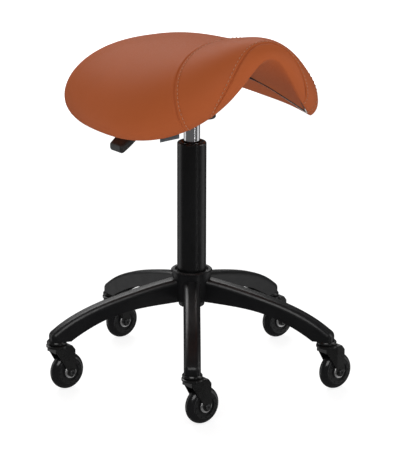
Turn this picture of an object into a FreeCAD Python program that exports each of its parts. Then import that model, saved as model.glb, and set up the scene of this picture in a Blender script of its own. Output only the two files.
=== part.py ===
import FreeCAD, Part
import math
import os

# Saddle stool on a five-arm caster base, in millimetres.
# Origin: the column's axis at floor level. +Z is up, and the seat's nose points to -Y.

V = FreeCAD.Vector
UP = V(0, 0, 1)

# Base
ARM_COUNT = 5
BASE_TURN = 3.35           # how far the base stands turned from the seat's centre line, degrees
STEM_CIRCLE = 242.0        # radius of the circle of caster stems
ARM_TIP = 254.0
ARM_ROOT_WIDTH = 28.8
ARM_TIP_WIDTH = 28.2
ARM_EDGE = 9.0             # rounding along an arm's top edges
ARM_FOOT = 90.0            # height of the flat pad under an arm's end
ARM_TOP = [(18, 183), (70, 174), (112, 164), (184, 142), (232, 118), (ARM_TIP, 101.5)]
ARM_BELOW = [(18, 142), (70, 139), (132, 130.5), (192, 107), (220, ARM_FOOT)]
ARM_WALL = 4.0
ARM_CELLS = [(40, 96), (99, 155), (158, 206)]
HUB_RADIUS = 33.5
HUB_LOW = 141.0
HUB_TOP = 189.0
HUB_RING_RADIUS = 35.5
HUB_RING_TOP = 195.5
SLEEVE_WALL = 1.5

# Gas lift
TUBE_RADIUS = 25.0
TUBE_WALL = 1.8
TUBE_LOW = 130.0
FOOT_Z = 133.0             # underside of the plate that closes the tube's foot
TUBE_TOP = 418.0
TUBE_TAPER_TOP = 198.0
TUBE_TAPER = 2.8           # how much the tube's radius shrinks towards its foot
BUSH_TOP = 421.5
BUSH_LENGTH = 90.5
CYLINDER_RADIUS = 14.0
CYLINDER_WALL = 2.0
CYLINDER_LOW = 173.0
CYLINDER_TOP = 516.0
ROD_RADIUS = 5.0
ROD_TOP = 352.0
SPIGOT_RADIUS = 4.0
RELEASE_RADIUS = 3.5
RUNNING = 0.06             # radial clearance of a running fit

# Casters
WHEEL_RADIUS = 32.0
WHEEL_WIDTH = 24.0
TRAIL = 20.0
TRAIL_TURN = 5.0           # direction in which all casters trail, degrees from +X
RACE_RADIUS = 17.0
STEM_RADIUS = 5.5
AXLE_RADIUS = 4.0
BEARING_RADIUS = 11.0
BEARING_WIDTH = 7.0
COVER_RADIUS = 10.4
HUB_RIM = 22.0             # outer radius of the wheel's hub, under the tread
FORK_GAP = 27.0
FORK_SHEET = 2.2
FORK_TOP = 80.5
FORK_FRONT = -11.0
LEG_BEND = 12.0            # in front of this, the legs lean inwards
LEG_LEAN = 8.0             # degrees
LEG_NOSE = 7.8             # radius of the rounded leg end at the axle

# Mechanism
FLOOR_Z = 494.0            # underside of the housing's floor
SHEET = 2.5
HOUSE_WIDTH = 84.0
HOUSE_NOSE_WIDTH = 36.0
HOUSE_FRONT = -57.0
HOUSE_WAIST = -12.0        # where the housing starts to narrow towards its nose
HOUSE_BACK = 68.0
EAR_X = 36.5               # the seat plate's ears, inside the housing's walls
TILT_Y = 48.0
TILT_Z = 514.0
TILT_PIN_RADIUS = 5.0
KNOB_Y = -41.0
KNOB_RADIUS = 18.0
KNOB_LOW = 470.5
SCREW_RADIUS = 4.0
NUT_Z = 514.0
LEVER_TURN = 3.0           # the lever is swept forward from -X by this turn about Z, degrees
LEVER_PIN = (-26.0, 517.0)
LEVER_PATH = [(6.0, 524.3), (-26.0, 524.3), (-46.0, 518.5), (-66.0, 505.5), (-112.0, 466.5)]
# The paddle's sections from the bar outwards: reach, height of the top, width, depth
PADDLE = [(84.0, 497.0, 20.0, 13.0), (104.0, 480.0, 37.0, 14.5),
          (128.0, 460.0, 42.0, 16.0), (157.5, 438.5, 34.0, 17.0)]
PLATE_Z = 539.0            # underside of the seat plate
PLATE_SHEET = 3.0
PLATE = (120.0, -72.0, 76.0)   # width, front and back

# Saddle: its width, drop and rise are polynomials in the run along the seat, -1 at the rear to 1 at the nose
SEAT_FRONT = 207.0
SEAT_REAR = 227.0
SEAT_CENTRE = 22.0
RIM_POWER = 3.4
HALF_WIDTH = (188.0, -15.0, -59.0, -31.0)
DROP = (97.0, 28.5, 16.0, 8.5)
RISE = (562.5, 24.0, 19.0, 25.0, -22.0)
DROP_POWER = (2.3, -0.35)
CUSHION = 39.5
ROLL = 11.0                # how far the cushion's edge rolls below the rim
ROUNDNESS = 7.0
SHELL_SCALE = 0.925
TRIM_SCALE = 0.905
TAG_RUNS = (0.52, 0.645)     # where the side tag starts and ends along the seat
TAG_SEAT = V(9, 0, 8)       # from the rim to the tag's upper edge
TAG_HANG = 14.0


def cylinder(radius, low, high, x=0.0, y=0.0):
    return Part.makeCylinder(radius, high - low, V(x, y, low))


def tube(outer, inner, low, high, x=0.0, y=0.0):
    return cylinder(outer, low, high, x, y).cut(cylinder(inner, low - 1, high + 1, x, y))


def block(x_low, x_high, y_low, y_high, z_low, z_high):
    return Part.makeBox(x_high - x_low, y_high - y_low, z_high - z_low, V(x_low, y_low, z_low))


def cone(low_radius, high_radius, low, high):
    return Part.makeCone(low_radius, high_radius, high - low, V(0, 0, low))


def turned(shape, degrees):
    moved = shape.copy()
    moved.rotate(V(0, 0, 0), UP, degrees)
    return moved


def shifted(shape, x, y, z=0.0):
    moved = shape.copy()
    moved.translate(V(x, y, z))
    return moved


def joined(shapes):
    return shapes[0].multiFuse(shapes[1:]).removeSplitter()


def lathe(points):
    """Revolve a closed outline of (radius, height) points about Z."""
    wire = Part.makePolygon([V(r, 0, z) for r, z in points + points[:1]])
    return Part.Face(wire).revolve(V(0, 0, 0), UP, 360)


def curve(points):
    spline = Part.BSplineCurve()
    spline.interpolate(points)
    return spline.toShape()


def save(name, shape):
    shape.exportStep("parts/" + name + ".step")


# ---------------------------------------------------------------- base

def arm_side(width, drop=0.0):
    """The arm's side outline, extruded to a width; drop lowers its top."""
    top = curve([V(s, -width / 2, z - drop) for s, z in ARM_TOP])
    below = curve([V(s, -width / 2, z) for s, z in ARM_BELOW])
    corners = [V(s, -width / 2, z) for s, z in (ARM_BELOW[-1], (ARM_TIP, ARM_FOOT), ARM_TOP[-1])]
    corners[2].z -= drop
    heel = V(ARM_BELOW[0][0], -width / 2, ARM_BELOW[0][1])
    head = V(ARM_TOP[0][0], -width / 2, ARM_TOP[0][1] - drop)
    lines = [Part.makeLine(corners[0], corners[1]), Part.makeLine(corners[1], corners[2])]
    edges = Part.__sortEdges__([top, below, Part.makeLine(heel, head)] + lines)
    return Part.Face(Part.Wire(edges)).extrude(V(0, width, 0))


def arm():
    """One arched arm along +X: crowned top, flat sides, hollow ribbed underside."""
    body = arm_side(ARM_ROOT_WIDTH)
    root = ARM_ROOT_WIDTH / 2
    tip = ARM_TIP_WIDTH / 2
    plan = Part.makePolygon([V(0, -root, 0), V(ARM_TIP + 1, -tip, 0), V(ARM_TIP + 1, tip, 0),
                             V(0, root, 0), V(0, -root, 0)])
    body = body.common(Part.Face(plan).extrude(V(0, 0, 300)))
    tip_edges = [e for e in body.Edges if e.BoundBox.XMin > ARM_TIP - 1 and e.BoundBox.ZLength > 8]
    body = body.makeFillet(ARM_EDGE + 0.5, tip_edges)
    long_edges = [e for e in body.Edges if e.BoundBox.XLength > 150 and e.BoundBox.ZMax > 160
                  and e.BoundBox.YLength < 3]
    body = body.makeFillet(ARM_EDGE, long_edges)
    inner = ARM_TIP_WIDTH - 2 * ARM_WALL
    hollow = arm_side(inner, drop=ARM_WALL + 3)
    for low, high in ARM_CELLS:
        cell = block(low, high, -inner, inner, 60, 200)
        body = body.cut(hollow.common(cell))
    return body.cut(cylinder(STEM_RADIUS + 2.0, ARM_FOOT - 1, ARM_FOOT + 12, STEM_CIRCLE, 0))


def arm_angles():
    return [BASE_TURN + 90 + 360 * k / ARM_COUNT for k in range(ARM_COUNT)]


def star_base():
    hub = cylinder(HUB_RADIUS, HUB_LOW, HUB_TOP)
    hub = hub.makeChamfer(2.5, [e for e in hub.Edges if e.BoundBox.ZMax < HUB_LOW + 0.1])
    body = joined([hub] + [turned(arm(), angle) for angle in arm_angles()])
    low, high = tube_radius(HUB_LOW), tube_radius(HUB_TOP)
    return body.cut(cone(low + SLEEVE_WALL, high + SLEEVE_WALL, HUB_LOW, HUB_TOP))


def tube_radius(z):
    share = min(1.0, max(0.0, (TUBE_TAPER_TOP - z) / (TUBE_TAPER_TOP - TUBE_LOW)))
    return TUBE_RADIUS - TUBE_TAPER * share


def hub_sleeve():
    """Steel sleeve lining the hub, with the taper that grips the column."""
    low, high = tube_radius(HUB_LOW), tube_radius(HUB_TOP)
    outer = cone(low + SLEEVE_WALL, high + SLEEVE_WALL, HUB_LOW, HUB_TOP)
    return outer.cut(cone(low, high, HUB_LOW, HUB_TOP))


def hub_ring():
    low, high, rim = HUB_TOP, HUB_RING_TOP, HUB_RING_RADIUS
    inside = TUBE_RADIUS + 0.1
    return lathe([(inside, low), (rim - 2, low), (rim - 2, low + 2), (rim, low + 2.5), (rim, high - 1.5),
                  (rim - 1.5, high), (inside + 4, high), (inside + 1, high - 4), (inside, high - 4)])


def caster_places():
    places = []
    for angle in arm_angles():
        reach = math.radians(angle)
        places.append((STEM_CIRCLE * math.cos(reach), STEM_CIRCLE * math.sin(reach)))
    return places


def at_casters(shape):
    return Part.makeCompound([shifted(shape, x, y) for x, y in caster_places()])


def caster_socket():
    return tube(STEM_RADIUS + 2.0, STEM_RADIUS, ARM_FOOT, ARM_FOOT + 12)


def caster_stem():
    """Grip stem with its upper race, riveted below the fork's top plate."""
    race = lathe([(0, 84.3), (RACE_RADIUS - 3, 84.3), (RACE_RADIUS, 85.8), (RACE_RADIUS, 88.2),
                  (RACE_RADIUS - 1.5, ARM_FOOT), (0, ARM_FOOT)])
    shank = cylinder(STEM_RADIUS, ARM_FOOT, ARM_FOOT + 11.5)
    king_pin = cylinder(STEM_RADIUS, 75.5, 84.3)
    rivet = cylinder(STEM_RADIUS + 2.5, 73.5, 75.5)
    return joined([race, shank, king_pin, rivet])


# ---------------------------------------------------------------- gas lift

def column_tube():
    foot = cone(tube_radius(TUBE_LOW), TUBE_RADIUS, TUBE_LOW, TUBE_TAPER_TOP)
    foot = foot.makeFillet(2.5, [e for e in foot.Edges if e.BoundBox.ZMax < TUBE_LOW + 0.1])
    outer = joined([foot, cylinder(TUBE_RADIUS, TUBE_TAPER_TOP, TUBE_TOP)])
    floor_top = FOOT_Z + 4
    inner = TUBE_RADIUS - TUBE_WALL
    inside = joined([cone(tube_radius(floor_top) - TUBE_WALL, inner, floor_top, TUBE_TAPER_TOP),
                     cylinder(inner, TUBE_TAPER_TOP, TUBE_TOP + 1)])
    foot_recess = cylinder(tube_radius(TUBE_LOW) - 4.5, TUBE_LOW - 1, FOOT_Z)
    foot_hole = cylinder(SPIGOT_RADIUS + RUNNING, TUBE_LOW - 1, floor_top + 1)
    return outer.cut(inside).cut(foot_recess).cut(foot_hole)


def column_bush():
    """Plastic guide in the tube, whose rounded head has a funnel round the cylinder."""
    bore = CYLINDER_RADIUS + RUNNING
    inner = TUBE_RADIUS - TUBE_WALL
    low = TUBE_TOP - BUSH_LENGTH
    return lathe([(bore, low), (inner, low), (inner, TUBE_TOP), (TUBE_RADIUS, TUBE_TOP),
                  (TUBE_RADIUS, BUSH_TOP - 3.2), (TUBE_RADIUS - 0.4, BUSH_TOP - 1.9),
                  (TUBE_RADIUS - 1.3, BUSH_TOP - 0.8), (TUBE_RADIUS - 2.8, BUSH_TOP),
                  (TUBE_RADIUS - 4.6, BUSH_TOP), (bore + 2.0, BUSH_TOP - 6), (bore, BUSH_TOP - 6.5)])


def thrust_bearing():
    """Lower washer and ball cage that carry the rod; they stay with the tube."""
    low = FOOT_Z + 4
    return tube(12, SPIGOT_RADIUS + RUNNING, low, low + 5)


def piston_rod():
    shoulder = FOOT_Z + 9.05
    spigot = cylinder(SPIGOT_RADIUS, TUBE_LOW + 0.2, shoulder)
    return joined([spigot, cylinder(ROD_RADIUS, shoulder, ROD_TOP)])


def rod_washer():
    low = FOOT_Z + 9.1
    return tube(12, ROD_RADIUS, low, low + 2.0)


def rod_buffer():
    low = FOOT_Z + 11.1
    return tube(10, ROD_RADIUS, low, low + 8)


def rod_clip():
    """Spring clip under the tube's foot that keeps the rod in."""
    ring = tube(8, SPIGOT_RADIUS, TUBE_LOW + 0.7, TUBE_LOW + 2.4)
    return ring.cut(block(0, 10, -1.5, 1.5, TUBE_LOW, TUBE_LOW + 4))


def piston():
    inner = CYLINDER_RADIUS - CYLINDER_WALL - 0.08
    return tube(inner, ROD_RADIUS, ROD_TOP - 12, ROD_TOP)


def gas_cylinder():
    radius = CYLINDER_RADIUS
    inner = radius - CYLINDER_WALL
    outer = lathe([(0, CYLINDER_LOW), (radius - 1, CYLINDER_LOW), (radius, CYLINDER_LOW + 1),
                   (radius, FLOOR_Z - 14), (radius - 0.8, CYLINDER_TOP), (0, CYLINDER_TOP)])
    body = outer.cut(cylinder(inner, CYLINDER_LOW - 1, CYLINDER_TOP - 42))
    return body.cut(cylinder(RELEASE_RADIUS + RUNNING, CYLINDER_TOP - 43, CYLINDER_TOP + 1))


def cylinder_gland():
    inner = CYLINDER_RADIUS - CYLINDER_WALL
    return tube(inner, ROD_RADIUS + RUNNING, CYLINDER_LOW, CYLINDER_LOW + 14)


def release_pin():
    pin = cylinder(RELEASE_RADIUS, CYLINDER_TOP - 30, CYLINDER_TOP + 6)
    return pin.makeChamfer(0.8, [e for e in pin.Edges if e.BoundBox.ZMin > CYLINDER_TOP])


# ---------------------------------------------------------------- mechanism

def rounded_slab(width, front, back, low, high, corner):
    slab = block(-width / 2, width / 2, front, back, low, high)
    return slab.makeFillet(corner, [e for e in slab.Edges if e.BoundBox.ZLength > (high - low) - 0.1])


def housing_plan(inset, low, high):
    """Solid over the housing's plan, which narrows towards its nose, set in from the outside by inset."""
    half = HOUSE_WIDTH / 2
    nose = HOUSE_NOSE_WIDTH / 2
    corners = [V(-nose, HOUSE_FRONT, low), V(nose, HOUSE_FRONT, low), V(half, HOUSE_WAIST, low),
               V(half, HOUSE_BACK, low), V(-half, HOUSE_BACK, low), V(-half, HOUSE_WAIST, low)]
    plan = Part.Face(Part.makePolygon(corners + corners[:1]))
    slab = plan.extrude(V(0, 0, high - low))
    slab = slab.makeFillet(10, [e for e in slab.Edges if e.BoundBox.ZLength > (high - low) - 0.1])
    if inset:
        foot = [f for f in slab.Faces if f.BoundBox.ZMax < low + 0.1][0]
        slab = foot.makeOffset2D(-inset).extrude(V(0, 0, high - low))
    return slab


def mech_housing():
    """Pressed steel tray, higher at the tilt pin than at the nose, open on top."""
    top = FLOOR_Z + 30
    outer = housing_plan(0, FLOOR_Z, top)
    floor_edges = [e for e in outer.Edges if e.BoundBox.ZMax < FLOOR_Z + 0.1]
    outer = outer.makeFillet(3, floor_edges)
    tray = outer.cut(housing_plan(SHEET, FLOOR_Z + SHEET, top + 1))
    slope = Part.makePolygon([V(-80, HOUSE_FRONT - 5, FLOOR_Z + 10), V(-80, -20, FLOOR_Z + 10),
                              V(-80, 24, top), V(-80, 24, top + 5), V(-80, HOUSE_FRONT - 5, top + 5),
                              V(-80, HOUSE_FRONT - 5, FLOOR_Z + 10)])
    tray = tray.cut(Part.Face(slope).extrude(V(160, 0, 0)))
    tray = tray.cut(cylinder(18.5, FLOOR_Z - 1, FLOOR_Z + 5))
    tray = tray.cut(cylinder(SCREW_RADIUS + 0.3, FLOOR_Z - 1, FLOOR_Z + 5, 0, KNOB_Y))
    tray = tray.cut(along_x(TILT_PIN_RADIUS, -60, 60, TILT_Y, TILT_Z))
    notch = turned(block(-70, -34, -11, 11, FLOOR_Z + 9, top + 1), LEVER_TURN)
    return tray.cut(notch)


def along_x(radius, low, high, y, z):
    return Part.makeCylinder(radius, high - low, V(low, y, z), V(1, 0, 0))


def along_y(radius, low, high, x, z):
    return Part.makeCylinder(radius, high - low, V(x, low, z), V(0, 1, 0))


def taper_socket():
    low = FLOOR_Z - 14
    outer = cylinder(18.5, low, CYLINDER_TOP - 2)
    outer = outer.makeChamfer(1.5, [e for e in outer.Edges if e.BoundBox.ZMax < low + 0.1])
    return outer.cut(cone(CYLINDER_RADIUS, CYLINDER_RADIUS - 0.8, low, CYLINDER_TOP))


def tilt_pin():
    half = HOUSE_WIDTH / 2
    pin = along_x(TILT_PIN_RADIUS, -half - 1.5, half + 1.5, TILT_Y, TILT_Z)
    left_head = along_x(7, -half - 4, -half - 0.01, TILT_Y, TILT_Z)
    right_head = along_x(7, half + 0.01, half + 4, TILT_Y, TILT_Z)
    return joined([pin, left_head, right_head])


def bar(path, width, thick):
    """Flat bar that follows an (x, z) path, seen from the side."""
    left, right = [], []
    for i, (x, z) in enumerate(path):
        before = path[max(i - 1, 0)]
        after = path[min(i + 1, len(path) - 1)]
        run = V(after[0] - before[0], 0, after[1] - before[1]).normalize()
        across = V(-run.z, 0, run.x) * (thick / 2)
        left.append(V(x, -width / 2, z) + across)
        right.append(V(x, -width / 2, z) - across)
    outline = left + right[::-1]
    return Part.Face(Part.makePolygon(outline + outline[:1])).extrude(V(0, width, 0))


def lever_arm():
    """Steel bar: tongue over the release pin, boss on the pivot, then down to the paddle."""
    x_pin, z_pin = LEVER_PIN
    arm_bar = bar(LEVER_PATH, 12, 3.4)
    boss = along_y(5.2, -6, 6, x_pin, z_pin)
    web = block(x_pin - 3, x_pin + 3, -6, 6, z_pin, LEVER_PATH[1][1])
    solid = joined([arm_bar, boss, web]).cut(along_y(3 + RUNNING, -8, 8, x_pin, z_pin))
    return turned(solid, LEVER_TURN)


def lever_paddle():
    """Moulded paddle, narrow at the bar, broad in the middle and cut upright at its tip."""
    wires = []
    for reach, high, width, depth in PADDLE:
        half = width / 2
        corners = [V(-reach, -half, high - depth), V(-reach, half, high - depth),
                   V(-reach, half, high), V(-reach, -half, high)]
        wires.append(Part.makePolygon(corners + corners[:1]))
    body = Part.makeLoft(wires, True, False)
    body = body.makeFillet(5.0, body.Edges)
    slot = bar(LEVER_PATH[-2:], 12.02, 3.42)
    return turned(body.cut(slot), LEVER_TURN)


def lever_bracket():
    """Two ears welded to the floor, either side of the lever's boss."""
    x_pin, z_pin = LEVER_PIN
    ears = []
    for side in (-1, 1):
        low = min(side * 6.4, side * 8.9)
        ear = joined([block(x_pin - 4.5, x_pin + 4.5, low, low + 2.5, FLOOR_Z + SHEET, z_pin),
                      along_y(4.5, low, low + 2.5, x_pin, z_pin)])
        ears.append(turned(ear.cut(along_y(3, -12, 12, x_pin, z_pin)), LEVER_TURN))
    return Part.makeCompound(ears)


def lever_pin():
    x_pin, z_pin = LEVER_PIN
    return turned(along_y(3, -10, 10, x_pin, z_pin), LEVER_TURN)


def tilt_knob():
    """Fluted knob under the housing."""
    high = FLOOR_Z - 0.5
    knob = cylinder(KNOB_RADIUS, KNOB_LOW, high - 3, 0, KNOB_Y)
    knob = knob.makeFillet(3, [e for e in knob.Edges if e.BoundBox.ZMax < KNOB_LOW + 0.1])
    for k in range(8):
        angle = math.radians(45 * k)
        reach = KNOB_RADIUS + 3.5
        x, y = reach * math.cos(angle), KNOB_Y + reach * math.sin(angle)
        knob = knob.cut(cylinder(5, KNOB_LOW - 1, high, x, y))
    collar = cylinder(8, high - 4, high, 0, KNOB_Y)
    return joined([knob, collar]).cut(cylinder(SCREW_RADIUS, KNOB_LOW + 6, high + 1, 0, KNOB_Y))


def tilt_screw():
    low = KNOB_LOW + 6
    shank = cylinder(SCREW_RADIUS, low, NUT_Z + 14, 0, KNOB_Y)
    collar = tube(7, SCREW_RADIUS, FLOOR_Z + SHEET + 0.4, FLOOR_Z + SHEET + 2.4, 0, KNOB_Y)
    return joined([shank, collar])


# ---------------------------------------------------------------- seat frame

def seat_plate():
    """Pressed plate with two ears on the tilt pin and two that hold the trunnion nut."""
    high = PLATE_Z + PLATE_SHEET
    plate = rounded_slab(*PLATE, PLATE_Z, high, 14)
    plate = plate.cut(cylinder(SCREW_RADIUS + 4, PLATE_Z - 1, high + 1, 0, KNOB_Y))
    for x, y in plate_bolt_places():
        plate = plate.cut(cylinder(3.2, PLATE_Z - 1, high + 1, x, y))
    parts = [plate]
    for x in (-EAR_X, EAR_X):
        ear = joined([block(x - 1.5, x + 1.5, TILT_Y - 12, TILT_Y + 12, TILT_Z, PLATE_Z),
                      along_x(12, x - 1.5, x + 1.5, TILT_Y, TILT_Z)])
        parts.append(ear)
    for x in (-14.0, 14.0):
        parts.append(block(x - 1.5, x + 1.5, KNOB_Y - 8, KNOB_Y + 8, NUT_Z - 7, PLATE_Z))
    solid = joined(parts).cut(along_x(TILT_PIN_RADIUS + RUNNING, -60, 60, TILT_Y, TILT_Z))
    return solid.cut(along_x(4, -20, 20, KNOB_Y, NUT_Z))


def plate_bolt_places():
    return [(x, y) for x in (-47.0, 47.0) for y in (-56.0, 62.0)]


def trunnion_nut():
    nut = block(-12.4, 12.4, KNOB_Y - 8, KNOB_Y + 8, NUT_Z - 5, NUT_Z + 5)
    pins = along_x(4, -15.5, 15.5, KNOB_Y, NUT_Z)
    return joined([nut, pins]).cut(cylinder(SCREW_RADIUS + 1.6, NUT_Z - 20, NUT_Z + 20, 0, KNOB_Y))


def plate_bolts():
    bolts = []
    for x, y in plate_bolt_places():
        head = cylinder(5.5, PLATE_Z - 3.2, PLATE_Z, x, y)
        bolts.append(joined([head, cylinder(3, PLATE_Z, PLATE_Z + 15, x, y)]))
    return Part.makeCompound(bolts)


def t_nuts():
    nuts = []
    for x, y in plate_bolt_places():
        nuts.append(tube(4.5, 3, PLATE_Z + 4, PLATE_Z + 14.5, x, y))
    return Part.makeCompound(nuts)


# ---------------------------------------------------------------- saddle

def cubic(terms, run):
    return sum(term * run ** power for power, term in enumerate(terms))


def rim_share(run):
    """Half span of the rim at a run along the seat, both from -1 to 1."""
    return (1 - abs(run) ** RIM_POWER) ** (1 / RIM_POWER)


def saddle_section(run, scale, above, below, rounded):
    """Closed outline of the saddle across the seat, at one run along it.

    above and below are the thicknesses over and under the rim surface.  A rounded
    outline thins out to nothing at the rim, and a plain one ends in square edges.
    """
    length = SEAT_FRONT if run > 0 else SEAT_REAR
    y = -(SEAT_CENTRE + length * run * scale)
    span = rim_share(run) * scale
    upper, lower = [], []
    steps = 12
    for k in range(steps + 1):
        s = span * math.sin(math.pi * (k / steps - 0.5))
        width = cubic(HALF_WIDTH, run * scale)
        fall = cubic(DROP, run * scale)
        power = cubic(DROP_POWER, run * scale)
        x = width * s
        z = cubic(RISE, run * scale) - fall * abs(s) ** power
        slope = -fall * power * abs(s) ** (power - 1) * math.copysign(1, s) / width
        size = math.hypot(1, slope)
        share = 1.0
        if rounded:
            edge = (abs(run) ** RIM_POWER + abs(s) ** RIM_POWER) ** (1 / RIM_POWER)
            share = math.sqrt(max(0.0, 1 - min(edge, 1.0) ** ROUNDNESS))
        normal = V(-slope / size, 0, 1 / size)
        middle = V(x, y, z)
        upper.append(middle + normal * (above * share))
        lower.append(middle - normal * (below * share))
    if rounded:
        return Part.Wire([curve(upper), curve(lower[::-1])])
    ends = [Part.makeLine(upper[-1], lower[-1]), Part.makeLine(lower[0], upper[0])]
    return Part.Wire([curve(upper), ends[0], curve(lower[::-1]), ends[1]])


def saddle(scale, above, below, rounded=False):
    steps = 14
    reach = 0.988
    runs = [reach * math.sin(math.pi * (k / steps - 0.5)) for k in range(steps + 1)]
    return Part.makeLoft([saddle_section(run, scale, above, below, rounded) for run in runs], True, False)


def seat_foam():
    """The cushion, open below for the shell."""
    return saddle(1.0, CUSHION, ROLL, rounded=True).cut(saddle(SHELL_SCALE + 0.002, 6.0, 60.0))


def plate_room(extra, low, high):
    """Block around the seat plate."""
    width, front, back = PLATE
    return block(-width / 2 - extra, width / 2 + extra, front - extra, back + extra, low, high)


def seat_shell():
    """Moulded shell with a flat boss for the seat plate."""
    boss = plate_room(2, PLATE_Z + PLATE_SHEET, cubic(RISE, 0) + 5)
    boss = boss.common(saddle(SHELL_SCALE, 5.4, 60.0))
    shell = joined([saddle(SHELL_SCALE, 5.8, 4.0), boss])
    shell = shell.cut(plate_room(4, 400, PLATE_Z + PLATE_SHEET))
    shell = shell.cut(cylinder(SCREW_RADIUS + 4, PLATE_Z, PLATE_Z + 17, 0, KNOB_Y))
    for x, y in plate_bolt_places():
        shell = shell.cut(cylinder(4.5, PLATE_Z, PLATE_Z + 16, x, y))
    return shell


def under_cover():
    return saddle(TRIM_SCALE, -4.2, 6.5).cut(plate_room(4, 400, 600))


def edge_trim():
    band = saddle(SHELL_SCALE, -4.2, 8.0)
    return band.cut(saddle(TRIM_SCALE + 0.002, 10.0, 60.0))


# ---------------------------------------------------------------- casters

def tread():
    """Solid tread with a rounded crown, about the axle along Y."""
    half = WHEEL_WIDTH / 2
    side = WHEEL_RADIUS - 8.5
    crown = Part.Arc(V(0, -half + 1.0, side), V(0, 0, WHEEL_RADIUS), V(0, half - 1.0, side)).toShape()
    low = [V(0, half - 1.0, side), V(0, half - 1.0, HUB_RIM), V(0, -half + 1.0, HUB_RIM),
           V(0, -half + 1.0, side)]
    wire = Part.Wire([crown] + [Part.makeLine(low[i], low[i + 1]) for i in range(3)])
    return Part.Face(wire).revolve(V(0, 0, 0), V(0, 1, 0), 360)


def wheel_hub():
    half = WHEEL_WIDTH / 2 - 1.0
    hub = along_y(HUB_RIM, -half, half, 0, 0)
    hub = hub.cut(along_y(8.0, -half - 1, half + 1, 0, 0))
    for side in (-1, 1):
        face = side * half
        seat = along_y(BEARING_RADIUS, min(face, face - side * (BEARING_WIDTH - 0.5)),
                       max(face, face - side * (BEARING_WIDTH - 0.5)), 0, 0)
        hub = hub.cut(seat)
        dish = tube_y(17.2, 12.8, face - side * 1.6, face + side)
        hub = hub.cut(dish)
        for k in range(12):
            angle = math.radians(30 * k)
            dimple = along_y(1.2, min(face + side, face - side * 1.5), max(face + side, face - side * 1.5),
                             19.6 * math.cos(angle), 19.6 * math.sin(angle))
            hub = hub.cut(dimple)
    return hub


def tube_y(outer, inner, end_a, end_b):
    low, high = min(end_a, end_b), max(end_a, end_b)
    return along_y(outer, low, high, 0, 0).cut(along_y(inner, low - 1, high + 1, 0, 0))


def wheel_bearings():
    """Ball bearings, each with a bright cover ring that nearly reaches the fork's leg."""
    half = WHEEL_WIDTH / 2 - 0.5
    bore = AXLE_RADIUS + RUNNING
    pair = []
    for side in (-1, 1):
        ring = tube_y(BEARING_RADIUS, bore, side * half, side * (half - BEARING_WIDTH))
        cover = tube_y(COVER_RADIUS, 6.4, side * (half - 0.5), side * (FORK_GAP / 2 - 0.4))
        pair.append(joined([ring, cover]))
    return Part.makeCompound(pair)


def leg_inset(x):
    """How far a leg's plate has leaned inwards at x."""
    return max(0.0, LEG_BEND - x) * math.tan(math.radians(LEG_LEAN))


def fork_leg(side):
    """Side plate from the head down to the axle, bent inwards in front of an upright line."""
    z_axle = WHEEL_RADIUS
    slant = math.radians(60)
    rear_x = TRAIL + LEG_NOSE
    front = V(TRAIL - LEG_NOSE * math.sin(slant), 0, z_axle + LEG_NOSE * math.cos(slant))
    lowest = V(TRAIL, 0, z_axle - LEG_NOSE)
    rear = V(rear_x, 0, z_axle)
    points = [rear, V(rear_x, 0, FORK_TOP - 8), V(rear_x - 6, 0, FORK_TOP), V(FORK_FRONT, 0, FORK_TOP),
              V(FORK_FRONT, 0, FORK_TOP - 5), front]
    lines = [Part.makeLine(points[i], points[i + 1]) for i in range(len(points) - 1)]
    arc = Part.Arc(front, lowest, rear).toShape()
    outline = Part.Face(Part.Wire(Part.__sortEdges__(lines + [arc]))).extrude(V(0, side * 30, 0))
    inner = [(rear_x + 1, FORK_GAP / 2), (LEG_BEND, FORK_GAP / 2),
             (FORK_FRONT - 1, FORK_GAP / 2 - leg_inset(FORK_FRONT - 1))]
    band = [V(x, side * y, 0) for x, y in inner] + [V(x, side * (y + FORK_SHEET), 0) for x, y in inner[::-1]]
    return outline.common(Part.Face(Part.makePolygon(band + band[:1])).extrude(V(0, 0, 100)))


def fork():
    """Pressed fork: top plate that slopes down behind, lower race, two legs and a front web."""
    half = FORK_GAP / 2 + FORK_SHEET
    nose = half - leg_inset(FORK_FRONT)
    thick = 2.5
    rear_x = TRAIL + LEG_NOSE
    profile = [V(FORK_FRONT, -half, FORK_TOP - thick), V(FORK_FRONT, -half, FORK_TOP),
               V(rear_x - 6, -half, FORK_TOP), V(rear_x, -half, FORK_TOP - 8),
               V(rear_x, -half, FORK_TOP - 12), V(rear_x - 7, -half, FORK_TOP - thick)]
    top = Part.Face(Part.makePolygon(profile + profile[:1])).extrude(V(0, 2 * half, 0))
    plan = [V(FORK_FRONT, -nose, 0), V(LEG_BEND, -half, 0), V(rear_x + 1, -half, 0), V(rear_x + 1, half, 0),
            V(LEG_BEND, half, 0), V(FORK_FRONT, nose, 0), V(FORK_FRONT, -nose, 0)]
    top = top.common(Part.Face(Part.makePolygon(plan)).extrude(V(0, 0, 100)))
    web = block(FORK_FRONT, FORK_FRONT + 2.5, -nose, nose, FORK_TOP - 10, FORK_TOP)
    rim = RACE_RADIUS + 1
    head = lathe([(0, 78), (rim - 2, 78), (rim, 79.5), (rim, 82.5), (rim - 2.5, 84), (0, 84)])
    body = joined([top, web, fork_leg(-1), fork_leg(1), head])
    body = body.cut(cylinder(STEM_RADIUS + RUNNING, 70, 90))
    return body.cut(along_y(AXLE_RADIUS, -30, 30, TRAIL, WHEEL_RADIUS))


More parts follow.
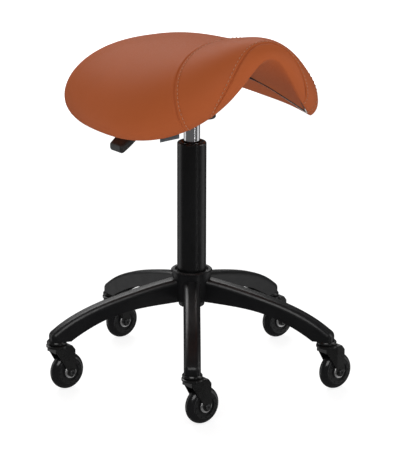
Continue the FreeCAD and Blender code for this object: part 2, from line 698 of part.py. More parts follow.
def axle_set():
    """Axle bolt, its nut, and the spacers between the bearings and the fork."""
    half = FORK_GAP / 2
    out = half + FORK_SHEET
    head = along_y(4.9, -out - 2.8, -out, 0, 0)
    head = head.makeFillet(1.0, [e for e in head.Edges if e.BoundBox.YMax < -out - 2.7])
    bolt = joined([along_y(AXLE_RADIUS, -out, out + 5, 0, 0), head])
    bolt = bolt.cut(hexagon(2.4, -out - 4, -out - 1.2))
    spacers = [tube_y(5.6, AXLE_RADIUS, side * (WHEEL_WIDTH / 2 - 0.3), side * half) for side in (-1, 1)]
    nut = hexagon(6.0, out, out + 4.5).cut(along_y(AXLE_RADIUS, out - 1, out + 6, 0, 0))
    return Part.makeCompound([bolt, nut] + spacers)


def hexagon(radius, low, high):
    corners = []
    for k in range(7):
        angle = math.radians(60 * k)
        corners.append(V(radius * math.cos(angle), low, radius * math.sin(angle)))
    return Part.Face(Part.makePolygon(corners)).extrude(V(0, high - low, 0))


def place_at_caster(shape, place, at_axle):
    moved = shape.copy()
    if at_axle:
        moved.translate(V(TRAIL, 0, WHEEL_RADIUS))
    return shifted(turned(moved, TRAIL_TURN), place[0], place[1])


# ---------------------------------------------------------------- side tag

def rim_point(run):
    """Point of the rim on the user's right, at a run along the seat."""
    span = rim_share(run)
    fall = cubic(DROP, run) * span ** cubic(DROP_POWER, run)
    return V(-cubic(HALF_WIDTH, run) * span, -(SEAT_CENTRE + SEAT_FRONT * run), cubic(RISE, run) - fall)


def side_tag():
    """Small woven tag that hangs from the turned-in edge on the user's right."""
    ends = [rim_point(run) + TAG_SEAT for run in TAG_RUNS]
    hang = V(0, 0, -TAG_HANG)
    outline = [ends[0], ends[1], ends[1] + hang, ends[0] + hang, ends[0]]
    tag = Part.Face(Part.makePolygon(outline)).extrude(V(1, 0, 0))
    return tag.cut(saddle(1.0, CUSHION, ROLL + 0.4, rounded=True))


def main():
    os.makedirs("parts", exist_ok=True)
    save("star_base", star_base())
    save("hub_sleeve", hub_sleeve())
    save("hub_ring", hub_ring())
    save("caster_sockets", at_casters(caster_socket()))
    save("caster_stems", at_casters(caster_stem()))
    save("column_tube", column_tube())
    save("column_bush", column_bush())
    save("thrust_bearing", thrust_bearing())
    save("piston_rod", piston_rod())
    save("rod_washer", rod_washer())
    save("rod_buffer", rod_buffer())
    save("rod_clip", rod_clip())
    save("piston", piston())
    save("gas_cylinder", gas_cylinder())
    save("cylinder_gland", cylinder_gland())
    save("release_pin", release_pin())
    save("mech_housing", mech_housing())
    save("taper_socket", taper_socket())
    save("tilt_pin", tilt_pin())
    save("lever_arm", lever_arm())
    save("lever_paddle", lever_paddle())
    save("lever_bracket", lever_bracket())
    save("lever_pin", lever_pin())
    save("tilt_knob", tilt_knob())
    save("tilt_screw", tilt_screw())
    save("seat_plate", seat_plate())
    save("trunnion_nut", trunnion_nut())
    save("plate_bolts", plate_bolts())
    save("t_nuts", t_nuts())
    save("seat_foam", seat_foam())
    save("seat_shell", seat_shell())
    save("under_cover", under_cover())
    save("edge_trim", edge_trim())
    save("side_tag", side_tag())
    for number, place in enumerate(caster_places(), start=1):
        save("fork_%d" % number, place_at_caster(fork(), place, False))
        save("axle_set_%d" % number, place_at_caster(axle_set(), place, True))
        save("wheel_tread_%d" % number, place_at_caster(tread(), place, True))
        save("wheel_hub_%d" % number, place_at_caster(wheel_hub(), place, True))
        save("wheel_bearings_%d" % number, place_at_caster(wheel_bearings(), place, True))


main()
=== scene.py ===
"""Dentist stool: upholstered saddle, gas lift and five-arm caster base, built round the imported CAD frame."""

import math

import bmesh
import bpy
import numpy as np
from mathutils import Matrix, Vector


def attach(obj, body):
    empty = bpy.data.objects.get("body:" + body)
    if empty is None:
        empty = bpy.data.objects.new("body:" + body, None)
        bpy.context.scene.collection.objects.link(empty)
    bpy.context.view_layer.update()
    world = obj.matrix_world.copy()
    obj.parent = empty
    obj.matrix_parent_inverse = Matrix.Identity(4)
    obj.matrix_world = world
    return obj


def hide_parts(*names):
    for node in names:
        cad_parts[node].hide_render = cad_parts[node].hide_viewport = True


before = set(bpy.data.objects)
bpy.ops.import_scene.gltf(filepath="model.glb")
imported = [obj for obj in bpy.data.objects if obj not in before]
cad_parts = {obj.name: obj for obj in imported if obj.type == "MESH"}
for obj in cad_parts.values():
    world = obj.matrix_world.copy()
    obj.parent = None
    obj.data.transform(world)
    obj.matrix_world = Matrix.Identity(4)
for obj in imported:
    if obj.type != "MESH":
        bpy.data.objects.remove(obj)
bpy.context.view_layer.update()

# Saddle surface, in metres: the CAD's polynomials in the run along the seat, -1 at the rear to 1 at the nose
SEAT_FRONT = 0.207
SEAT_REAR = 0.227
SEAT_CENTRE = 0.022
RIM_POWER = 3.4
HALF_WIDTH = (0.188, -0.015, -0.059, -0.031)
DROP = (0.097, 0.0285, 0.016, 0.0085)
RISE = (0.5625, 0.024, 0.019, 0.025, -0.022)
DROP_POWER = (2.3, -0.35)
CUSHION = 0.0395
ROLL = 0.011
ROUNDNESS = 7.0

# Seams: the run along the seat where each crosses the ridge, how far it moves by the rim, and the power of that
MID_SEAM = (0.42, 0.38, 2.3)
FRONT_SEAM = (0.938, -0.235, 4.0)
STITCH_OFFSETS = (0.0066, 0.0052)
STITCH_PITCH = 0.0070
STITCH_RADIUS = 0.0006
STITCH_LIFT = (-0.0002, 0.0008, 0.0010, 0.0008, -0.0002)
COLUMNS = 221

# Lengths of the panels from seam to edge, used to space their rows, and how far the open edges turn inwards
REAR_LENGTH = 0.33
STRIP_LENGTH = 0.098
FASCIA_LENGTH = 0.075
LIP_DEPTH = 0.0055

# The dent beside a seam: depth and width of the groove, of the soft swell and of the pull of the stitches
GROOVE = (0.0019, 0.0013)
SWELL = (0.0005, 0.0035)
SWELL_OFFSET = 0.0048
PULL = (0.0006, 0.0011)

# The turned-in edge: direction round the seat in degrees from the nose, and how far under it reaches; the rear
# panel's corner and the inner panel's back end are directions too, and the gap lies between edge and inner panel
TURN_IN = ((45, 1.70), (52, 1.735), (60, 1.82), (70, 1.98), (78, 2.10), (86, 2.28), (95, 2.40), (110, 2.42),
           (135, 2.36), (180, 2.30))
CORNER = 132
INNER_BACK = 92
GAP = 0.0054

# Bars in the gap: radius, distance in from the edge, rise into the cushion, and how far along from the front seam
# each one starts
BINDING = (0.0010, 0.0006, -0.0002, 0.036)
PIPING = (0.0025, 0.0034, 0.0008, 0.0)

MIRROR = np.array([1, -1])


# ---------------------------------------------------------------- camera, light and floor

def make_camera():
    """From the front and the user's right, a little above the saddle, with a long lens."""
    azimuth = math.radians(-33)
    elevation = 0.291376
    distance = 4.1131
    height = 0.25
    aim_right, aim_up = 0.01428, 0.01599
    roll = math.radians(0.161)
    back = Vector((math.sin(azimuth) * math.cos(elevation), -math.cos(azimuth) * math.cos(elevation),
                   math.sin(elevation)))
    place = Vector((0, 0, height)) + back * distance
    right = Vector((math.cos(azimuth), math.sin(azimuth), 0))
    up = back.cross(right)
    aim = Vector((0, 0, height)) + right * aim_right + up * aim_up
    data = bpy.data.cameras.new("camera")
    data.sensor_width = 36
    data.lens = 188.8
    data.clip_start = 0.1
    data.clip_end = 60
    camera = bpy.data.objects.new("camera", data)
    bpy.context.scene.collection.objects.link(camera)
    look = (aim - place).to_track_quat("-Z", "Y").to_matrix().to_4x4()
    camera.matrix_world = Matrix.Translation(place) @ look @ Matrix.Rotation(roll, 4, "Z")
    bpy.context.scene.camera = camera


def area_light(name, place, target, size, power):
    data = bpy.data.lights.new(name, "AREA")
    data.shape = "RECTANGLE"
    data.size, data.size_y = size
    data.energy = power
    lamp = bpy.data.objects.new(name, data)
    bpy.context.scene.collection.objects.link(lamp)
    lamp.location = place
    lamp.rotation_mode = "QUATERNION"
    lamp.rotation_quaternion = (Vector(target) - Vector(place)).to_track_quat("-Z", "Y")


def make_world():
    """White backdrop that lights the stool only dimly."""
    world = bpy.data.worlds.new("studio")
    world.use_nodes = True
    nodes, links = world.node_tree.nodes, world.node_tree.links
    background = nodes["Background"]
    background.inputs["Color"].default_value = (1, 1, 1, 1)
    rays = nodes.new("ShaderNodeLightPath")
    strength = nodes.new("ShaderNodeMapRange")
    strength.inputs["To Min"].default_value = 0.10
    strength.inputs["To Max"].default_value = 1.0
    links.new(rays.outputs["Is Camera Ray"], strength.inputs["Value"])
    links.new(strength.outputs["Result"], background.inputs["Strength"])
    bpy.context.scene.world = world
    bpy.context.scene.view_settings.view_transform = "Standard"


def make_lights():
    centre = (0, 0, 0.35)
    low_centre = (0, 0, 0.3)
    area_light("key", (-1.9, -2.2, 2.9), centre, (2.4, 2.4), 79)
    area_light("fill", (2.4, -2.0, 1.6), centre, (2.0, 2.4), 26)
    area_light("overhead", (0.7, 2.3, 2.7), centre, (3.2, 2.4), 84)
    area_light("left_strip", (-1.38, 1.84, 0.3), low_centre, (1.4, 3.2), 9)
    area_light("right_strip", (2.12, -0.9, 0.3), low_centre, (1.4, 3.2), 9)
    area_light("narrow_strip", (0.35, -2.47, 0.3), low_centre, (0.11, 3.2), 3)


# ---------------------------------------------------------------- materials

class Finish:
    """A Principled material and short ways to add procedural detail to it, in metres on the object."""

    def __init__(self, name, colour, roughness, metallic=0.0):
        self.material = bpy.data.materials.new(name)
        self.material.use_nodes = True
        self.tree = self.material.node_tree
        self.shader = self.tree.nodes["Principled BSDF"]
        self.shader.inputs["Metallic"].default_value = metallic
        self.shader.inputs["Roughness"].default_value = roughness
        self.shader.inputs["Base Color"].default_value = (*colour, 1)
        self.colour = colour
        self.roughness = roughness
        self.place = self.tree.nodes.new("ShaderNodeTexCoord").outputs["Object"]

    def node(self, kind, **values):
        made = self.tree.nodes.new(kind)
        for key, value in values.items():
            if key in made.inputs:
                made.inputs[key].default_value = value
            else:
                setattr(made, key, value)
        return made

    def link(self, output, target):
        self.tree.links.new(output, target)

    def noise(self, scale, detail=3.0, stretch=None):
        made = self.node("ShaderNodeTexNoise", Scale=scale, Detail=detail)
        place = self.place
        if stretch:
            mapping = self.node("ShaderNodeMapping")
            mapping.inputs["Scale"].default_value = stretch
            self.link(place, mapping.inputs["Vector"])
            place = mapping.outputs["Vector"]
        self.link(place, made.inputs["Vector"])
        return made.outputs["Fac"]

    def pebble(self, scale, smooth=0.6):
        made = self.node("ShaderNodeTexVoronoi", Scale=scale)
        made.feature = "SMOOTH_F1"
        made.inputs["Smoothness"].default_value = smooth
        self.link(self.place, made.inputs["Vector"])
        return made.outputs["Distance"]

    def span(self, value, low, high):
        made = self.node("ShaderNodeMapRange")
        made.inputs["From Min"].default_value = 0.3
        made.inputs["From Max"].default_value = 0.7
        made.inputs["To Min"].default_value = low
        made.inputs["To Max"].default_value = high
        self.link(value, made.inputs["Value"])
        return made.outputs["Result"]

    def tint(self, value, low, high, start=0.35, end=0.65):
        """Colour between two shades of the base colour."""
        ramp = self.node("ShaderNodeValToRGB")
        ramp.color_ramp.elements[0].position = start
        ramp.color_ramp.elements[1].position = end
        for element, share in zip(ramp.color_ramp.elements, (low, high)):
            element.color = (*[min(1.0, c * share) for c in self.colour], 1)
        self.link(value, ramp.inputs["Fac"])
        self.link(ramp.outputs["Color"], self.shader.inputs["Base Color"])

    def rough(self, value, spread):
        low, high = self.roughness - spread, self.roughness + spread
        self.link(self.span(value, low, high), self.shader.inputs["Roughness"])

    def bump(self, value, depth, strength=1.0, under=None):
        made = self.node("ShaderNodeBump", Strength=strength, Distance=depth)
        self.link(value, made.inputs["Height"])
        if under:
            self.link(under, made.inputs["Normal"])
        self.link(made.outputs["Normal"], self.shader.inputs["Normal"])
        return made.outputs["Normal"]


def leather_finish():
    made = Finish("leatherette", (0.350, 0.084, 0.026), 0.5)
    made.tint(made.noise(9, 4), 0.975, 1.025)
    grain = made.pebble(720, 0.7)
    fine = made.noise(1900, 2)
    made.rough(made.noise(260, 3), 0.05)
    under = made.bump(fine, 0.00006, 0.5)
    made.bump(grain, 0.00016, 0.55, under)
    made.shader.inputs["Specular IOR Level"].default_value = 0.05
    return made.material


def dull_black(name, colour, roughness, grain=900, depth=0.00005, strength=0.4, shine=0.4):
    made = Finish(name, colour, roughness)
    made.shader.inputs["Specular IOR Level"].default_value = shine
    made.tint(made.noise(18, 4), 0.85, 1.2)
    made.rough(made.noise(70, 4), 0.05)
    made.bump(made.noise(grain, 3), depth, strength)
    return made.material


def metal(name, colour, roughness, stretch=(1, 1, 12)):
    made = Finish(name, colour, roughness, 1.0)
    made.tint(made.noise(25, 3), 0.94, 1.04)
    made.rough(made.noise(300, 3, stretch), roughness * 0.3)
    made.bump(made.noise(1200, 2, stretch), 0.00001, 0.3)
    return made.material


def woven(name, colour, roughness, scale):
    """Two crossed bands of threads."""
    made = Finish(name, colour, roughness)
    waves = []
    for direction in ("X", "Z"):
        wave = made.node("ShaderNodeTexWave", Scale=scale, Distortion=0.4)
        wave.bands_direction = direction
        made.link(made.place, wave.inputs["Vector"])
        waves.append(wave.outputs["Fac"])
    both = made.node("ShaderNodeMath", operation="MULTIPLY")
    made.link(waves[0], both.inputs[0])
    made.link(waves[1], both.inputs[1])
    made.tint(both.outputs["Value"], 0.6, 1.25, 0.0, 0.8)
    made.bump(both.outputs["Value"], 0.0002, 0.6)
    return made.material


def floor_finish(name, glow):
    """Pale floor that is lit mostly from itself, so that the stool throws hardly any shadow on it."""
    made = Finish(name, (0.25, 0.25, 0.25), 0.6)
    made.shader.inputs["Emission Color"].default_value = (1, 1, 1, 1)
    made.shader.inputs["Emission Strength"].default_value = glow
    made.tint(made.noise(3, 2), 0.995, 1.005)
    made.bump(made.noise(300, 2), 0.00002, 0.1)
    return made.material


def make_floor(name, half, level, glow):
    mesh = bpy.data.meshes.new(name)
    mesh.from_pydata([(-half, -half, level), (half, -half, level), (half, half, level), (-half, half, level)],
                     [], [(0, 1, 2, 3)])
    floor = bpy.data.objects.new(name, mesh)
    bpy.context.scene.collection.objects.link(floor)
    floor.data.materials.append(floor_finish(name + "_paint", glow))
    floor.visible_glossy = False


# ---------------------------------------------------------------- saddle surface

def poly(terms, run):
    return sum(term * run ** power for power, term in enumerate(terms))


def norm(x, y):
    return (np.abs(x) ** RIM_POWER + np.abs(y) ** RIM_POWER) ** (1 / RIM_POWER)


def middle(run, side):
    """The rim surface: run along the seat, side across it, both from -1 to 1."""
    length = (SEAT_FRONT + SEAT_REAR) / 2 - (SEAT_REAR - SEAT_FRONT) / 2 * np.tanh(run / 0.2)
    x = poly(HALF_WIDTH, run) * side
    y = -(SEAT_CENTRE + length * run)
    z = poly(RISE, run) - poly(DROP, run) * np.abs(side) ** poly(DROP_POWER, run)
    return np.stack([x, y, z], -1)


def normal(run, side):
    step = 1e-4
    along = middle(run + step, side) - middle(run - step, side)
    across = middle(run, side + step) - middle(run, side - step)
    up = np.cross(across, along)
    up *= np.sign(up[..., 2:3])
    return up / np.linalg.norm(up, axis=-1, keepdims=True)


def skin(x, y):
    """The cushion's skin on an extended disc: over the top out to a quarter turn, then round the rim and under."""
    turn = norm(x, y) + 1e-9
    reach = np.sin(np.minimum(turn, math.pi))
    run, side = reach * x / turn, reach * y / turn
    share = np.sqrt(np.maximum(0, 1 - np.minimum(reach, 1) ** ROUNDNESS))
    depth = np.where(turn < math.pi / 2, CUSHION, -ROLL) * share
    return middle(run, side) + normal(run, side) * depth[..., None]


def underside(run, side, lower=0.0):
    share = np.sqrt(np.maximum(0, 1 - np.minimum(norm(run, side), 1) ** ROUNDNESS))
    return middle(run, side) - normal(run, side) * (ROLL * share + lower)[..., None]


def turn_in(degrees):
    """How far the skin turns under at a direction round the seat, smoothly between the stated points."""
    places, turns = np.array(TURN_IN, float).T
    fine = np.linspace(places[0], places[-1], 271)
    level = np.interp(fine, places, turns)
    kernel = np.hanning(15)
    padded = np.concatenate([np.full(7, level[0]), level, np.full(7, level[-1])])
    smooth = np.convolve(padded, kernel / kernel.sum(), "valid")
    return np.interp(np.abs(degrees), fine, smooth)


def ring_point(degrees, turn):
    """Point of the extended disc in a direction, where direction is the angle in the disc's own plane."""
    angle = np.radians(degrees)
    x, y = np.cos(angle), np.sin(angle)
    size = turn / norm(x, y)
    return np.stack([x * size, y * size], -1)


def even(points, count, shape=None):
    """Resample a line of disc points evenly along the real surface."""
    solid = shape(points) if shape else skin(points[:, 0], points[:, 1])
    steps = np.linalg.norm(np.diff(solid, axis=0), axis=1)
    travel = np.concatenate([[0], np.cumsum(steps)]) / steps.sum()
    wanted = np.linspace(0, 1, count) if np.isscalar(count) else count
    return np.stack([np.interp(wanted, travel, points[:, k]) for k in range(points.shape[1])], -1)


def seam_line(seam):
    """A seam from the turned-in edge on the user's right, over the ridge, to that on the left."""
    start, move, power = seam
    side = np.linspace(0, 1, 2001)
    run = start + move * side ** power
    inside = norm(run, side) < 1
    side, run = side[inside], run[inside]
    reach = norm(run, side)
    size = np.arcsin(reach) / reach
    half = np.stack([run * size, side * size], -1)
    angle = math.degrees(math.atan2(half[-1, 1], half[-1, 0]))
    tail = ring_point(np.full(30, angle), np.linspace(math.pi / 2, float(turn_in(angle)), 30))
    half = np.concatenate([half, tail])
    other = half[::-1] * np.array([1, -1])
    return even(np.concatenate([other, half[1:]]), COLUMNS), angle


def coons(first, last, left, right, s, t):
    """Surface between four edges; first and last run along s, left and right along t."""
    s, t = s[None, :, None], t[:, None, None]
    between = (1 - t) * first[None] + t * last[None] + (1 - s) * left[:, None] + s * right[:, None]
    corners = ((1 - s) * (1 - t) * first[0] + s * (1 - t) * first[-1] + (1 - s) * t * last[0]
               + s * t * last[-1])
    return between - corners


def close_rows(length, fine_start, fine_end, step=0.0042):
    """Row places from 0 to 1, close together beside a seam."""
    beside = np.array([0, 0.6, 1.2, 1.9, 2.7, 3.7, 4.9, 6.1, 7.0, 7.9, 9.2, 11, 13.5]) / 1000
    low = beside if fine_start else np.array([0.0])
    high = (length - beside)[::-1] if fine_end else np.array([length])
    count = max(2, int((high[0] - low[-1]) / step))
    body = np.linspace(low[-1], high[0], count + 1)[1:-1]
    return np.concatenate([low, body, high]) / length


def grid_normals(grid):
    along = np.gradient(grid, axis=0)
    across = np.gradient(grid, axis=1)
    out = np.cross(across, along)
    size = np.linalg.norm(out, axis=-1, keepdims=True)
    return out / np.maximum(size, 1e-12)


def grid_normals_out(grid):
    """Grid normals, pointing out of the cushion."""
    out = grid_normals(grid)
    centre = np.array([0, 0, 0.52])
    sign = np.sign((out * (grid - centre)).sum(-1).mean())
    return out * sign


def travel_from(grid, from_start=True):
    """Distance along each column from the grid's first row, or from its last."""
    steps = np.linalg.norm(np.diff(grid, axis=0), axis=-1)
    if not from_start:
        steps = steps[::-1]
    total = np.concatenate([np.zeros((1, grid.shape[1])), np.cumsum(steps, axis=0)])
    return total if from_start else total[::-1]


def sunk(distance, stitch_offset=None):
    """Height of the skin beside a seam: the groove, a soft swell, and the pull of the topstitching.

    All of it fades towards the seam's ends, at the first and last column.
    """
    groove = -GROOVE[0] * np.exp(-(distance / GROOVE[1]) ** 2)
    swell = SWELL[0] * np.exp(-((distance - SWELL_OFFSET) / SWELL[1]) ** 2)
    column = np.arange(distance.shape[1])
    ends = np.clip(np.minimum(column, column[::-1]) / 16, 0.15, 1)
    if stitch_offset is None:
        return (groove + swell * 0.8) * ends
    pull = -PULL[0] * np.exp(-((distance - stitch_offset) / PULL[1]) ** 2)
    return (groove + swell * 1.2 + pull) * ends


# ---------------------------------------------------------------- mesh helpers

def link_mesh(name, points, faces, material):
    mesh = bpy.data.meshes.new(name)
    mesh.from_pydata([tuple(p) for p in points], [], [tuple(int(i) for i in f) for f in faces])
    mesh.validate()
    mesh.update()
    mesh.shade_smooth()
    made = bpy.data.objects.new(name, mesh)
    bpy.context.scene.collection.objects.link(made)
    made.data.materials.append(material)
    return made


class Sheets:
    """Collects grids of points into one mesh, sharing the points that meet."""

    def __init__(self):
        self.points, self.faces = [], []

    def add(self, grid):
        start = sum(len(p) for p in self.points)
        rows, columns = grid.shape[:2]
        self.points.append(grid.reshape(-1, 3))
        index = start + np.arange(rows * columns).reshape(rows, columns)
        quads = np.stack([index[:-1, :-1], index[:-1, 1:], index[1:, 1:], index[1:, :-1]], -1).reshape(-1, 4)
        self.faces.append(quads)

    def build(self, name, material):
        made = link_mesh(name, np.concatenate(self.points), np.concatenate(self.faces), material)
        work = bmesh.new()
        work.from_mesh(made.data)
        bmesh.ops.remove_doubles(work, verts=work.verts, dist=2e-6)
        bmesh.ops.dissolve_degenerate(work, edges=work.edges, dist=1e-7)
        bmesh.ops.recalc_face_normals(work, faces=work.faces)
        work.to_mesh(made.data)
        work.free()
        made.data.shade_smooth()
        return made


def tube_along(points, radius, sides):
    """Round bar along a line of points, with closed ends."""
    points = np.asarray(points, float)
    ahead = np.gradient(points, axis=0)
    ahead /= np.linalg.norm(ahead, axis=1, keepdims=True)
    hint = np.array([0, 0, 1.0]) if abs(ahead[0, 2]) < 0.9 else np.array([1.0, 0, 0])
    rings = []
    for here, run in zip(points, ahead):
        left = np.cross(run, hint)
        left /= np.linalg.norm(left)
        up = np.cross(left, run)
        hint = up
        angle = np.linspace(0, 2 * math.pi, sides, endpoint=False)
        rings.append(here + radius * (np.cos(angle)[:, None] * left + np.sin(angle)[:, None] * up))
    rings = np.array(rings)
    low = points[0] - ahead[0] * radius * 0.5 + (rings[0] - points[0]) * 0.35
    high = points[-1] + ahead[-1] * radius * 0.5 + (rings[-1] - points[-1]) * 0.35
    rings = np.concatenate([low[None], rings, high[None]])
    count = len(rings)
    index = np.arange(count * sides).reshape(count, sides)
    after = np.roll(index, -1, axis=1)
    quads = np.stack([index[:-1], after[:-1], after[1:], index[1:]], -1).reshape(-1, 4).tolist()
    quads.append(index[0][::-1].tolist())
    quads.append(index[-1].tolist())
    return rings.reshape(-1, 3), quads


class Bars:
    """Collects round bars into one mesh."""

    def __init__(self):
        self.points, self.faces = [], []

    def add(self, line, radius, sides):
        start = sum(len(p) for p in self.points)
        made, quads = tube_along(line, radius, sides)
        self.points.append(made)
        self.faces.extend([[i + start for i in quad] for quad in quads])

    def build(self, name, material):
        return link_mesh(name, np.concatenate(self.points), self.faces, material)


# ---------------------------------------------------------------- saddle pieces

def turned_in_edge(low, high, turn=None):
    """The turned-in edge between two directions, or a line at one given turn."""
    angle = np.linspace(low, high, 241)
    return ring_point(angle, turn_in(angle) if turn is None else np.full(len(angle), turn))


def flattened(slope):
    """The turned-in edge at some directions, as points of the flat disc that underside() takes."""
    size = np.sin(turn_in(slope)) / turn_in(slope)
    return ring_point(slope, turn_in(slope)) * size[:, None]


def below(points):
    return underside(points[:, 0], points[:, 1])


class Panels:
    """The cushion's four leather panels: disc points and skin points of each, sharing their seams.

    rear: from the middle seam back, round the rim and under. strip: between the two seams. fascia: from the front
    seam over the nose to just under it. inner: the fascia's leather carried on under the arch.
    """

    def __init__(self):
        self.across = np.linspace(0, 1, COLUMNS)
        self.mid, self.mid_angle = seam_line(MID_SEAM)
        self.front, self.front_angle = seam_line(FRONT_SEAM)
        self.make_rear()
        self.make_strip()
        edge_line, lip = self.make_fascia()
        self.make_inner(edge_line, lip)

    def make_rear(self):
        places = close_rows(REAR_LENGTH, True, False)
        self.rear_last = even(np.concatenate([turned_in_edge(-CORNER, -180), turned_in_edge(180, CORNER)[1:]]),
                              COLUMNS)
        self.rear = coons(self.mid, self.rear_last, even(turned_in_edge(-self.mid_angle, -CORNER), places),
                          even(turned_in_edge(self.mid_angle, CORNER), places), self.across, places)
        skin_points = skin(self.rear[..., 0], self.rear[..., 1])
        skin_points += grid_normals_out(skin_points) * sunk(travel_from(skin_points))[..., None]
        self.rear_skin = skin_points

    def make_strip(self):
        places = close_rows(STRIP_LENGTH, True, True, 0.003)
        self.strip = coons(self.mid, self.front, even(turned_in_edge(-self.mid_angle, -self.front_angle), places),
                           even(turned_in_edge(self.mid_angle, self.front_angle), places), self.across, places)
        self.strip_flat = skin(self.strip[..., 0], self.strip[..., 1])
        self.near, self.far = travel_from(self.strip_flat), travel_from(self.strip_flat, False)
        self.strip_out = grid_normals_out(self.strip_flat)
        fade = np.clip((self.near + self.far) / 0.03, 0, 1)
        dents = sunk(self.near, STITCH_OFFSETS[0]) + sunk(self.far, STITCH_OFFSETS[1])
        self.strip_skin = self.strip_flat + self.strip_out * (dents * fade)[..., None]
        self.strip_skin[0] = self.rear_skin[0]

    def make_fascia(self):
        places = close_rows(FASCIA_LENGTH, True, False, 0.003)
        lip = float(turn_in(self.front_angle))
        edge_line = even(turned_in_edge(-self.front_angle, self.front_angle, lip), COLUMNS)
        ends = np.repeat(self.front[:1], len(places), 0), np.repeat(self.front[-1:], len(places), 0)
        fascia = coons(self.front, edge_line, ends[0], ends[1], self.across, places)
        skin_points = skin(fascia[..., 0], fascia[..., 1])
        away = travel_from(skin_points)
        narrow = np.clip(away[-1:] / 0.02, 0, 1)
        skin_points += grid_normals_out(skin_points) * (sunk(away) * narrow)[..., None]
        skin_points[0] = self.strip_skin[-1]
        self.fascia_skin = skin_points
        return edge_line, lip

    def make_inner(self, edge_line, lip):
        start = edge_line * (math.sin(lip) / lip)
        places = np.linspace(0, 1, 71) ** 1.5
        inset = even(flattened(np.linspace(self.front_angle, INNER_BACK, 200)), places, below)
        inset[:, 1] -= GAP / poly(HALF_WIDTH, inset[:, 0]) * np.clip(places * 6, 0, 1)
        back = np.stack([np.full(COLUMNS, inset[-1, 0]), np.linspace(-inset[-1, 1], inset[-1, 1], COLUMNS)], -1)
        self.inner = coons(start, back, inset * MIRROR, inset, self.across, places)
        self.inner_skin = underside(self.inner[..., 0], self.inner[..., 1])
        self.inner_skin[0] = self.fascia_skin[-1]

    def turned_lip(self):
        """The open edge of the outer panels, carried on inwards."""
        edge = np.concatenate([self.strip[::-1, -1], self.rear[1:, -1], self.rear_last[::-1][1:],
                               self.rear[::-1, 0][1:], self.strip[1:, 0]])
        line = np.concatenate([self.strip_skin[::-1, -1], self.rear_skin[1:, -1], self.rear_skin[-1][::-1][1:],
                               self.rear_skin[::-1, 0][1:], self.strip_skin[1:, 0]])
        inward = rim_normal(edge)
        return np.stack([line + inward * depth for depth in (0.0, 0.0012, LIP_DEPTH)])

    def inner_lip(self):
        """The open edge of the inner panel, carried on inwards."""
        border = np.concatenate([self.inner[:, 0], self.inner[-1, 1:], self.inner[::-1, -1][1:]])
        line = np.concatenate([self.inner_skin[:, 0], self.inner_skin[-1, 1:], self.inner_skin[::-1, -1][1:]])
        return np.stack([line, line + normal(border[:, 0], border[:, 1]) * LIP_DEPTH])


def rim_normal(edge):
    """The rim surface's normal beside points of the extended disc."""
    turn = norm(edge[:, 0], edge[:, 1])
    flat = edge * (np.sin(turn) / turn)[:, None]
    return normal(flat[:, 0], flat[:, 1])


def make_cushion(panels, leather):
    sheets = Sheets()
    for grid in (panels.rear_skin, panels.strip_skin, panels.fascia_skin, panels.inner_skin,
                 panels.turned_lip(), panels.inner_lip()):
        sheets.add(grid)
    return sheets.build("seat_cushion", leather)


def stitch_row(panels, distance, offset):
    """Points and outward directions along the front panel, at one distance from a seam."""
    picked = []
    for column in range(COLUMNS):
        values = distance[:, column]
        if values.max() < 0.016:
            continue
        order = np.argsort(values)
        place = [np.interp(offset, values[order], panels.strip_flat[order, column, k]) for k in range(3)]
        out = [np.interp(offset, values[order], panels.strip_out[order, column, k]) for k in range(3)]
        picked.append(place + out)
    return np.array(picked)


def make_stitching(panels, thread):
    """Topstitching on the front panel, beside both seams."""
    bars = Bars()
    for distance, offset in zip((panels.near, panels.far), STITCH_OFFSETS):
        row = stitch_row(panels, distance, offset)
        steps = np.linalg.norm(np.diff(row[:, :3], axis=0), axis=1)
        travel = np.concatenate([[0], np.cumsum(steps)])
        for k in range(int(travel[-1] / STITCH_PITCH)):
            here = np.linspace(k + 0.25, k + 0.75, len(STITCH_LIFT)) * STITCH_PITCH
            line = np.stack([np.interp(here, travel, row[:, j]) for j in range(3)], -1)
            out = np.stack([np.interp(here, travel, row[:, 3 + j]) for j in range(3)], -1)
            bars.add(line + out * np.array(STITCH_LIFT)[:, None], STITCH_RADIUS, 6)
    return bars.build("seat_stitching", thread)


def make_under_panel(lining):
    """Black panel behind the inner leather, inside the turned-in edge."""
    count = 121
    right_edge = even(flattened(np.linspace(INNER_BACK + 1, CORNER, 120)), np.linspace(0, 1, 41), below)
    half = flattened(np.linspace(CORNER, 180, 160))
    last = even(np.concatenate([half * MIRROR, half[::-1][1:]]), count, below)
    first = np.stack([np.full(count, right_edge[0, 0]), np.linspace(-right_edge[0, 1], right_edge[0, 1], count)],
                     -1)
    panel = coons(first, last, right_edge * MIRROR, right_edge, np.linspace(0, 1, count), np.linspace(0, 1, 41))
    cover = Sheets()
    cover.add(underside(panel[..., 0], panel[..., 1], -0.0022))
    made = cover.build("seat_under_panel", lining)
    solid = made.modifiers.new("sheet", "SOLIDIFY")
    solid.thickness = 0.0025
    solid.offset = 0
    return made


def make_edge_bar(panels, name, material, radius, aside, rise, start):
    """Round bar in the gap beside the turned-in edge, on both sides of the seat."""
    edge = np.concatenate([panels.strip[::-1, -1], panels.rear[1:, -1]])
    line = np.concatenate([panels.strip_skin[::-1, -1], panels.rear_skin[1:, -1]])
    up = rim_normal(edge)
    sideways = np.cross(up, np.gradient(line, axis=0))
    sideways /= np.linalg.norm(sideways, axis=1, keepdims=True)
    middle_under = np.array([0, -0.02, 0.5])
    sideways *= np.sign((sideways * (middle_under - line)).sum(1))[:, None]
    travel = np.concatenate([[0], np.cumsum(np.linalg.norm(np.diff(line, axis=0), axis=1))])
    placed = (line + sideways * aside + up * rise)[travel >= start]
    bars = Bars()
    for mirror in (1, -1):
        bars.add(placed * np.array([mirror, 1, 1]), radius, 8)
    return bars.build(name, material)


# ---------------------------------------------------------------- assembly

make_camera()
make_world()
make_lights()

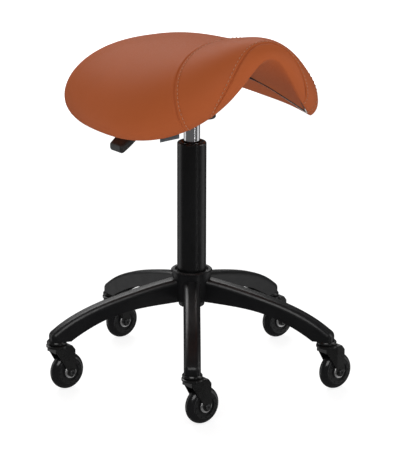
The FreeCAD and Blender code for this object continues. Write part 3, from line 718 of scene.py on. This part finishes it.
make_floor("floor", 1.7, -0.0002, 0.84)
make_floor("surround", 30, -0.002, 1.2)

leather = leather_finish()
nylon = dull_black("nylon_black", (0.0045, 0.0045, 0.005), 0.34, shine=0.32)
powder = dull_black("powder_coat_black", (0.003, 0.003, 0.0033), 0.33, 1500, 0.00004, 0.35)
fork_paint = dull_black("fork_black", (0.006, 0.006, 0.006), 0.28, 1200, 0.00003, 0.25)
stem_paint = dull_black("stem_black", (0.006, 0.006, 0.006), 0.2, 1200, 0.00003, 0.2)
tread_rubber = dull_black("tread_black", (0.006, 0.006, 0.0065), 0.2, 700, 0.00003, 0.2)
bush_plastic = dull_black("bush_black", (0.008, 0.008, 0.008), 0.16, 900, 0.00002, 0.2, shine=0.5)
axle_black = dull_black("axle_black", (0.02, 0.02, 0.021), 0.18, 900, 0.00002, 0.2, shine=0.6)
hub_plastic = dull_black("hub_black", (0.006, 0.006, 0.0065), 0.42)
soft_plastic = dull_black("plastic_black", (0.022, 0.022, 0.022), 0.4, 1100, 0.00008, 0.5)
chrome = metal("chrome", (0.85, 0.85, 0.87), 0.15)
cover_steel = metal("bright_cover", (0.95, 0.95, 0.95), 0.42, (1, 1, 1))
steel = metal("zinc_steel", (0.55, 0.55, 0.56), 0.3, (1, 1, 1))
lining = woven("lining_black", (0.02, 0.02, 0.021), 0.9, 500)
tag_cloth = woven("tag_weave", (0.10, 0.115, 0.13), 0.85, 900)
thread_finish = woven("thread", (0.52, 0.22, 0.115), 0.9, 3000)
binding_finish = dull_black("binding_pale", (0.78, 0.74, 0.71), 0.3)

by_node = {
    "star_base": nylon, "hub_sleeve": steel, "hub_ring": nylon, "caster_sockets": steel,
    "caster_stems": stem_paint, "column_tube": powder, "column_bush": bush_plastic, "thrust_bearing": steel,
    "piston_rod": chrome, "rod_washer": steel, "rod_buffer": tread_rubber, "rod_clip": steel, "piston": steel,
    "gas_cylinder": chrome, "cylinder_gland": steel, "release_pin": steel, "mech_housing": powder,
    "taper_socket": powder, "tilt_pin": steel, "lever_arm": powder, "lever_paddle": soft_plastic,
    "lever_bracket": powder, "lever_pin": steel, "tilt_knob": soft_plastic, "tilt_screw": steel,
    "seat_plate": powder, "trunnion_nut": steel, "plate_bolts": steel, "t_nuts": steel,
    "seat_foam": leather, "seat_shell": hub_plastic, "under_cover": lining, "edge_trim": soft_plastic,
    "side_tag": tag_cloth,
}
by_caster_part = {
    "fork": fork_paint, "axle_set": axle_black, "wheel_tread": tread_rubber, "wheel_hub": hub_plastic,
    "wheel_bearings": cover_steel,
}
for node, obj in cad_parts.items():
    obj.data.materials.clear()
    obj.data.materials.append(by_node.get(node) or by_caster_part[node.rsplit("_", 1)[0]])

panels = Panels()
cushion = make_cushion(panels, leather)
stitching = make_stitching(panels, thread_finish)
under_panel = make_under_panel(lining)
binding = make_edge_bar(panels, "seat_binding", binding_finish, *BINDING)
piping = make_edge_bar(panels, "seat_piping", soft_plastic, *PIPING)
for piece in (cushion, stitching, under_panel, binding, piping):
    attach(piece, "seat")
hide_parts("seat_foam")
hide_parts("under_cover")
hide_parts("edge_trim")
